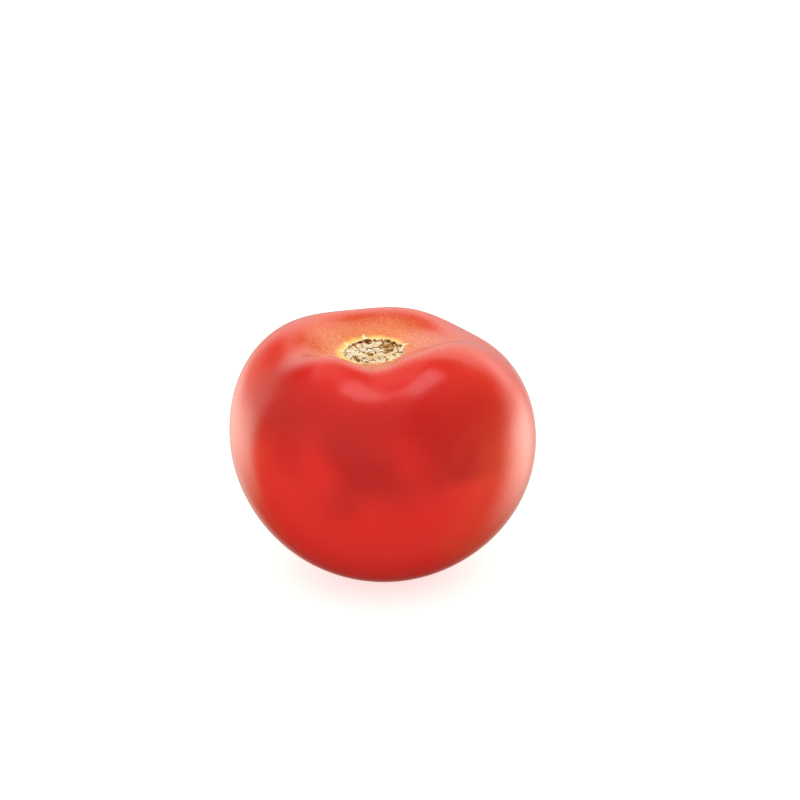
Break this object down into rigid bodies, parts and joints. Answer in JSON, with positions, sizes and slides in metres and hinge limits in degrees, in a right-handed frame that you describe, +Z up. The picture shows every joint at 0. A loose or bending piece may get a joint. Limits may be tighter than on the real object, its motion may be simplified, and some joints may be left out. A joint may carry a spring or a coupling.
{
  "type": "tomato",
  "caption": "Whole ripe tomato with shallow lobes, a dished stem end with a corky scar, and a small flat spot to rest on.",
  "frame": {"origin": "middle of the fruit's box, on the surface that it rests on", "axes": "+Z up, from the blossom end to the stem end; X across the fruit and Y from its front to its back, the front being the side that faces -Y"},
  "size_m": [0.082, 0.079, 0.068],
  "materials": {
    "skin": "smooth waxy red skin, paling to orange with fine golden flecks round a cream, corky stem scar"
  },
  "bodies": {
    "root": {"tomato": "skin"}
  },
  "joints": []
}
